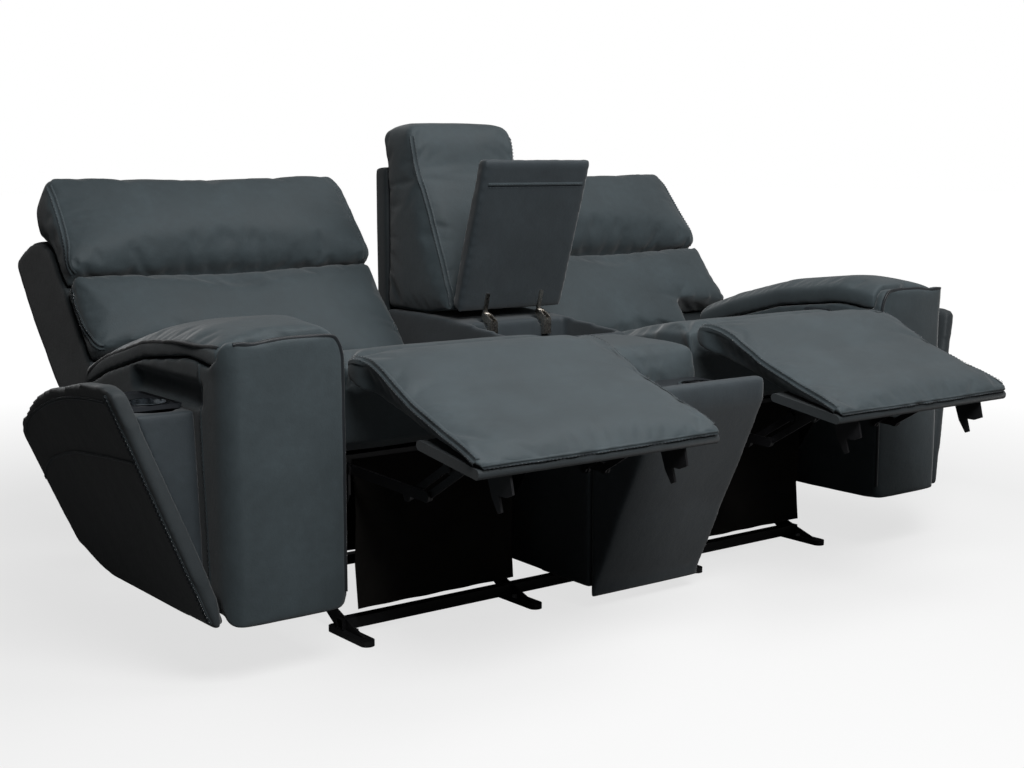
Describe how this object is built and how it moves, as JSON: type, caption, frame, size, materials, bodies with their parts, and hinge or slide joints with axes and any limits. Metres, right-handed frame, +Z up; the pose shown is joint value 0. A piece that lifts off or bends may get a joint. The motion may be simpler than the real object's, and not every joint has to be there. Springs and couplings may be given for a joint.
{
  "type": "gliding loveseat",
  "caption": "Power reclining gliding loveseat in dark leather with a storage console between the seats, flared arms with cup pods and chaise footrests on link mechanisms.",
  "frame": {"origin": "on the floor, under the centre of the overall box in the pictured pose", "axes": "+X along the seat row to the viewer's right, -Y the way the sofa faces, +Z up"},
  "size_m": [2.3602, 1.5784, 1.0401],
  "materials": {
    "black_paint": "satin",
    "zinc_steel": "satin",
    "nickel": "polished",
    "cup_chrome": "polished",
    "spring_steel": "satin",
    "tube_steel": "satin",
    "motor_plastic": "matte",
    "tray_plastic": "satin",
    "button_plastic": "gloss",
    "plate_metal": "satin",
    "dust_cloth": "matte",
    "leather": "satin",
    "leather_shell": "satin",
    "leather_case": "satin"
  },
  "bodies": {
    "base": {"base_side_plates": "black_paint", "base_cross_tubes": "black_paint", "base_bolts": "zinc_steel"},
    "front_links": {"front_swing_links": "black_paint"},
    "rear_links": {"rear_swing_links": "black_paint"},
    "carriage": {"mechanism_side_plates": "black_paint", "carriage_rails": "tube_steel", "dust_curtains": "dust_cloth", "console_box": "leather_case", "console_prow": "leather_case", "console_tray": "tray_plastic", "console_front_pad": "leather", "console_back_shell": "leather_case", "console_back_cushion": "leather", "lid_hinge_bodies": "nickel", "seat_springs": "spring_steel", "arm_pod_trays": "tray_plastic", "arm_cup_holders": "cup_chrome", "switch_plates": "plate_metal", "console_cup_holders": "cup_chrome", "right_seat_frame": "tube_steel", "right_seat_cushion": "leather", "right_arm_body": "leather_case", "right_arm_pad": "leather", "right_arm_pod": "leather_case", "right_outer_shell": "leather_shell", "right_drive_motors": "motor_plastic", "left_seat_frame": "tube_steel", "left_seat_cushion": "leather", "left_arm_body": "leather_case", "left_arm_pad": "leather", "left_arm_pod": "leather_case", "left_outer_shell": "leather_shell", "left_drive_motors": "motor_plastic"},
    "lid": {"console_lid": "leather", "lid_hinge_arms": "nickel"},
    "right_back": {"right_back_frame": "tube_steel", "right_back_shell": "leather_case", "right_back_cushion": "leather"},
    "right_head": {"right_headrest": "leather"},
    "right_drive": {"right_footrest_drive_links": "black_paint"},
    "right_front": {"right_footrest_front_links": "black_paint"},
    "right_control": {"right_footrest_control_links": "black_paint"},
    "right_board": {"right_footrest_board": "leather_case", "right_chaise_pad": "leather"},
    "right_button": {"right_switch_button": "button_plastic"},
    "left_back": {"left_back_frame": "tube_steel", "left_back_shell": "leather_case", "left_back_cushion": "leather"},
    "left_head": {"left_headrest": "leather"},
    "left_drive": {"left_footrest_drive_links": "black_paint"},
    "left_front": {"left_footrest_front_links": "black_paint"},
    "left_control": {"left_footrest_control_links": "black_paint"},
    "left_board": {"left_footrest_board": "leather_case", "left_chaise_pad": "leather"},
    "left_button": {"left_switch_button": "button_plastic"}
  },
  "joints": [
    {"name": "glide", "type": "hinge", "parent": "base", "child": "rear_links", "pos_m": [0, 0.122, 0.19], "axis": [1, 0, 0], "range_deg": [-28, 28]},
    {"name": "carriage_level", "type": "hinge", "parent": "rear_links", "child": "carriage", "pos_m": [0, 0.122, 0.085], "axis": [1, 0, 0], "range_deg": [-28, 28]},
    {"name": "front_link_swing", "type": "hinge", "parent": "base", "child": "front_links", "pos_m": [0, -0.118, 0.19], "axis": [1, 0, 0], "range_deg": [-28, 28]},
    {"name": "console_lid_hinge", "type": "hinge", "parent": "carriage", "child": "lid", "pos_m": [0, 0.086, 0.59], "axis": [1, 0, 0], "range_deg": [0, 77]},
    {"name": "right_recline", "type": "hinge", "parent": "carriage", "child": "right_back", "pos_m": [0.45, 0.23, 0.4], "axis": [1, 0, 0], "range_deg": [0, 27]},
    {"name": "right_headrest_tilt", "type": "hinge", "parent": "right_back", "child": "right_head", "pos_m": [0.45, 0.4767, 0.6625], "axis": [1, 0, 0], "range_deg": [0, 25]},
    {"name": "right_footrest", "type": "hinge", "parent": "carriage", "child": "right_drive", "pos_m": [0.45, -0.26, 0.35], "axis": [1, 0, 0], "range_deg": [0, 76]},
    {"name": "right_footrest_front", "type": "hinge", "parent": "right_drive", "child": "right_front", "pos_m": [0.45, -0.52872, 0.34135], "axis": [1, 0, 0], "range_deg": [-135, 2]},
    {"name": "right_footrest_control", "type": "hinge", "parent": "right_drive", "child": "right_control", "pos_m": [0.45, -0.46732, 0.33295], "axis": [1, 0, 0], "range_deg": [-135, 2]},
    {"name": "right_footrest_board_tilt", "type": "hinge", "parent": "right_front", "child": "right_board", "pos_m": [0.45, -0.649, 0.413], "axis": [1, 0, 0], "range_deg": [-2, 135]},
    {"name": "right_switch_press", "type": "slide", "parent": "carriage", "child": "right_button", "axis": [1, 0, 0], "range_m": [0, 0.002], "stiffness_N_per_m": 400},
    {"name": "left_recline", "type": "hinge", "parent": "carriage", "child": "left_back", "pos_m": [-0.45, 0.23, 0.4], "axis": [1, 0, 0], "range_deg": [0, 27]},
    {"name": "left_headrest_tilt", "type": "hinge", "parent": "left_back", "child": "left_head", "pos_m": [-0.45, 0.4767, 0.6625], "axis": [1, 0, 0], "range_deg": [0, 25]},
    {"name": "left_footrest", "type": "hinge", "parent": "carriage", "child": "left_drive", "pos_m": [-0.45, -0.26, 0.35], "axis": [1, 0, 0], "range_deg": [0, 76]},
    {"name": "left_footrest_front", "type": "hinge", "parent": "left_drive", "child": "left_front", "pos_m": [-0.45, -0.52872, 0.34135], "axis": [1, 0, 0], "range_deg": [-135, 2]},
    {"name": "left_footrest_control", "type": "hinge", "parent": "left_drive", "child": "left_control", "pos_m": [-0.45, -0.46732, 0.33295], "axis": [1, 0, 0], "range_deg": [-135, 2]},
    {"name": "left_footrest_board_tilt", "type": "hinge", "parent": "left_front", "child": "left_board", "pos_m": [-0.45, -0.649, 0.413], "axis": [1, 0, 0], "range_deg": [-2, 135]},
    {"name": "left_switch_press", "type": "slide", "parent": "carriage", "child": "left_button", "axis": [-1, 0, 0], "range_m": [0, 0.002], "stiffness_N_per_m": 400}
  ],
  "couplings": [
    {"joint": "carriage_level", "follows": "glide", "ratio": -1},
    {"joint": "front_link_swing", "follows": "glide", "ratio": 1},
    {"joint": "right_footrest_front", "follows": "right_footrest", "ratio": -1.7559},
    {"joint": "right_footrest_control", "follows": "right_footrest", "ratio": -1.7559},
    {"joint": "right_footrest_board_tilt", "follows": "right_footrest", "ratio": 1.7559},
    {"joint": "left_footrest_front", "follows": "left_footrest", "ratio": -1.7559},
    {"joint": "left_footrest_control", "follows": "left_footrest", "ratio": -1.7559},
    {"joint": "left_footrest_board_tilt", "follows": "left_footrest", "ratio": 1.7559}
  ]
}
